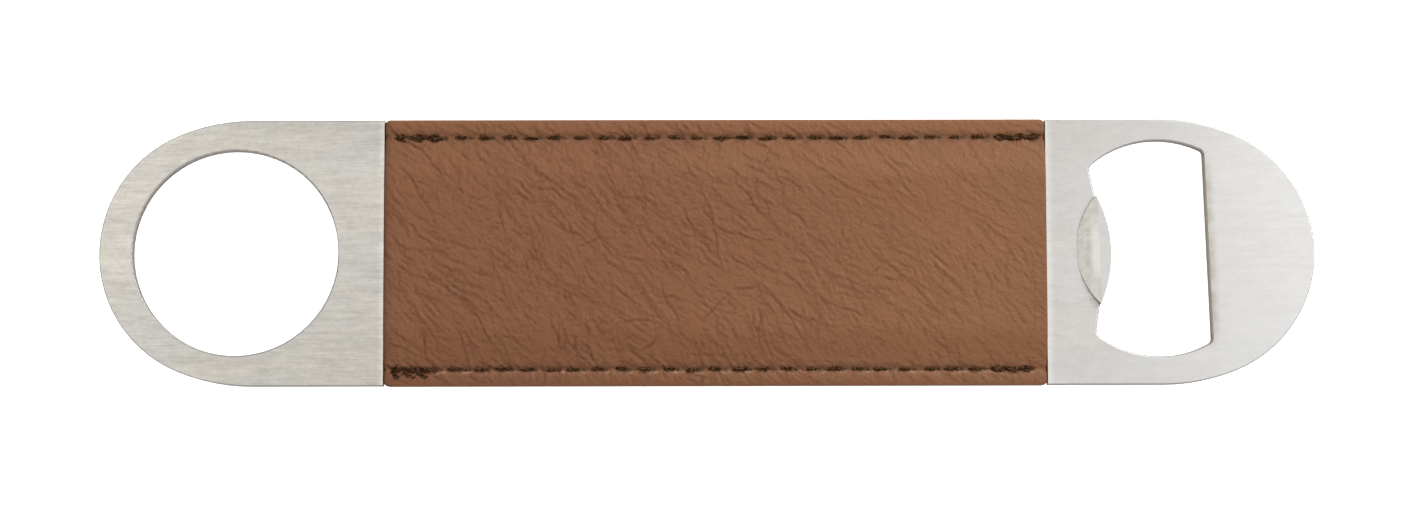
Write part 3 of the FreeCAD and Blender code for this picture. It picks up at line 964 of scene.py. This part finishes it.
def tack_paths(main, row_y, tacks, rng):
    """The short passes, one over the other, that lock a row at both ends."""
    paths = []
    for (start, end), (from_start, from_end, offsets) in zip(((0, 2), (-3, -1)), tacks):
        for k, offset in enumerate(offsets):
            count = 4 + k % 2
            holes = np.linspace(main[start] + from_start, main[end] + from_end, count)
            holes += rng.uniform(-TACK_SCATTER, TACK_SCATTER, count)
            slant = rng.uniform(-TACK_SLANT, TACK_SLANT)
            paths.append(stitch_path(holes, row_y + offset, slant, TACK_LIFT, rng))
    return paths


def make_thread(name, which, side, seed, node):
    """One row: the main pass, the passes that lock it, and the fuzz on them all."""
    holes, row_y = SEAMS[which]
    rng = np.random.default_rng(seed)
    main = holes + rng.uniform(-HOLE_SCATTER, HOLE_SCATTER, len(holes))
    body = stitch_path(main, row_y, BODY_SLANT, BODY_LIFT, rng)
    tacks = tack_paths(main, row_y, TACKS[which], rng)
    tubes = [(ply, PLY_R, 6) for line in [body] + tacks for ply in twisted(line, row_y, rng)]
    fibres = fuzz(body, row_y, FUZZ_PER_STITCH * STITCHES, 0.9, rng)
    for line in tacks:
        fibres += fuzz(line, row_y, FUZZ_PER_TACK, 1.3, rng)
    tubes += [(fibre, FUZZ_R, 3) for fibre in fibres]
    points, faces, count = [], [], 0
    for path, radius, sides in tubes:
        tube_points, tube_faces = tube(path, radius, sides)
        points.append(tube_points)
        faces += [tuple(i + count for i in face) for face in tube_faces]
        count += len(tube_points)
    points = np.concatenate(points)
    points[:, 2] = MID_Z + side * points[:, 2]
    if side < 0:
        faces = [face[::-1] for face in faces]
    piece = mesh_object(name, points, faces, THREAD)
    attach(piece, "thread", node)


# ---- build the object --------------------------------------------------------------------------

for node, material in (("blade", STEEL), ("front_adhesive_film", FILM), ("back_adhesive_film", FILM)):
    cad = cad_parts[node]
    cad.data.materials.clear()
    cad.data.materials.append(material)

make_skin("front_leather", 1, 11, "front_panel_skin")
make_skin("back_leather", -1, 57, "back_panel_skin")
make_backing("front_core", 1, 5, "front_panel_backing")
make_backing("back_core", -1, 6, "back_panel_backing")
make_thread("upper_needle_stitches", "upper", 1, 21, "upper_needle_thread")
make_thread("lower_needle_stitches", "lower", 1, 22, "lower_needle_thread")
make_thread("upper_bobbin_stitches", "upper", -1, 23, "upper_bobbin_thread")
make_thread("lower_bobbin_stitches", "lower", -1, 24, "lower_bobbin_thread")


# ---- studio ------------------------------------------------------------------------------------

WORLD_STRENGTH = 0.93
WORLD_LOW_TO_HIGH = (0.25, 0.85, 0.42, 1.0)  # share of the light from low down and from overhead
WORLD_BY_X = (                               # heading along X, then the colour of the light
    (-1.0, 1.15, 1.13, 1.06),
    (-0.32, 1.55, 1.51, 1.42),
    (-0.20, 1.30, 1.27, 1.19),
    (-0.11, 0.92, 0.90, 0.86),
    (0.06, 0.86, 0.85, 0.84),
    (0.16, 1.06, 1.06, 1.06),
    (0.28, 1.18, 1.19, 1.20),
    (1.0, 1.05, 1.05, 1.05),
)

FLOOR_HALF = 3.0
FLOOR_DROP = 0.00002                         # keeps it clear of the back of the sleeve
FLOOR_ALBEDO = 0.93
FLOOR_GLOW = 0.75
KEY_PLACE = (0.52, 0.55, 0.52)
KEY_SIZE = 0.4
KEY_POWER = 7.2
SENSOR_MM = 36.0
LENS_MM = 75.2
CAMERA_PLACE = (-0.0032, -0.039, 0.433)
CAMERA_AIM = (-0.00013, -0.00204, 0.003)
CAMERA_RIGHT = (1.0, -0.0019, 0.0)           # a touch turned from +X


def make_floor():
    """Plain white sweep under the object."""
    mesh = bpy.data.meshes.new("floor")
    corners = [(FLOOR_HALF * x, FLOOR_HALF * y, 0) for x, y in ((-1, -1), (1, -1), (1, 1), (-1, 1))]
    mesh.from_pydata(corners, [], [(0, 1, 2, 3)])
    floor = bpy.data.objects.new("floor", mesh)
    floor.location.z = -FLOOR_DROP
    bpy.context.scene.collection.objects.link(floor)
    g = Graph("white_floor")
    g.shade(base_color=rgb(FLOOR_ALBEDO, FLOOR_ALBEDO, FLOOR_ALBEDO), roughness=0.9,
            emission_color=rgb(1.0, 1.0, 1.0), emission_strength=FLOOR_GLOW)
    g.shine(0.0)
    mesh.materials.append(g.material)


def make_softbox():
    """One square light, to the right and away from the viewer, aimed at the object."""
    light = bpy.data.lights.new("key", "AREA")
    light.shape = "RECTANGLE"
    light.size = light.size_y = KEY_SIZE
    light.energy = KEY_POWER
    lamp = bpy.data.objects.new("key", light)
    lamp.location = KEY_PLACE
    lamp.rotation_euler = (-Vector(KEY_PLACE)).to_track_quat("-Z", "Y").to_euler()
    bpy.context.scene.collection.objects.link(lamp)


def make_world():
    """White surround: bright overhead, dimmer low down, brightest a little to the -X side."""
    world = bpy.data.worlds.new("studio")
    world.use_nodes = True
    tree = world.node_tree
    background = tree.nodes["Background"]
    place = tree.nodes.new("ShaderNodeTexCoord")
    axes = tree.nodes.new("ShaderNodeSeparateXYZ")
    tree.links.new(place.outputs["Generated"], axes.inputs[0])
    height = tree.nodes.new("ShaderNodeMapRange")
    height.interpolation_type = "SMOOTHSTEP"
    tree.links.new(axes.outputs["Z"], height.inputs["Value"])
    for name, value in zip(RANGE_SOCKETS, WORLD_LOW_TO_HIGH):
        height.inputs[name].default_value = value
    shift = tree.nodes.new("ShaderNodeMath")
    shift.operation = "MULTIPLY_ADD"
    shift.inputs[1].default_value = 0.5
    shift.inputs[2].default_value = 0.5
    tree.links.new(axes.outputs["X"], shift.inputs[0])
    ramp = tree.nodes.new("ShaderNodeValToRGB")
    tree.links.new(shift.outputs[0], ramp.inputs["Fac"])
    ramp.color_ramp.elements[0].position = 0.0
    ramp.color_ramp.elements[1].position = 1.0
    for _ in WORLD_BY_X[1:-1]:
        ramp.color_ramp.elements.new(0.5)
    for element, (x, red, green, blue) in zip(ramp.color_ramp.elements, WORLD_BY_X):
        element.position = 0.5 + 0.5 * x
        element.color = rgb(red, green, blue)
    tree.links.new(ramp.outputs["Color"], background.inputs["Color"])
    strength = tree.nodes.new("ShaderNodeMath")
    strength.operation = "MULTIPLY"
    strength.inputs[1].default_value = WORLD_STRENGTH
    tree.links.new(height.outputs["Result"], strength.inputs[0])
    tree.links.new(strength.outputs[0], background.inputs["Strength"])
    bpy.context.scene.world = world


def make_camera():
    """Almost straight above, a little towards the near long side."""
    data = bpy.data.cameras.new("camera")
    data.sensor_width = SENSOR_MM
    data.lens = LENS_MM
    camera = bpy.data.objects.new("camera", data)
    camera.location = CAMERA_PLACE
    back = (Vector(CAMERA_PLACE) - Vector(CAMERA_AIM)).normalized()
    right = Vector(CAMERA_RIGHT).cross(back).cross(back).normalized() * -1
    up = back.cross(right)
    camera.rotation_euler = Matrix((right, up, back)).transposed().to_euler()
    bpy.context.scene.collection.objects.link(camera)
    bpy.context.scene.camera = camera


make_floor()
make_world()
make_softbox()
make_camera()
bpy.context.scene.view_settings.view_transform = "Standard"
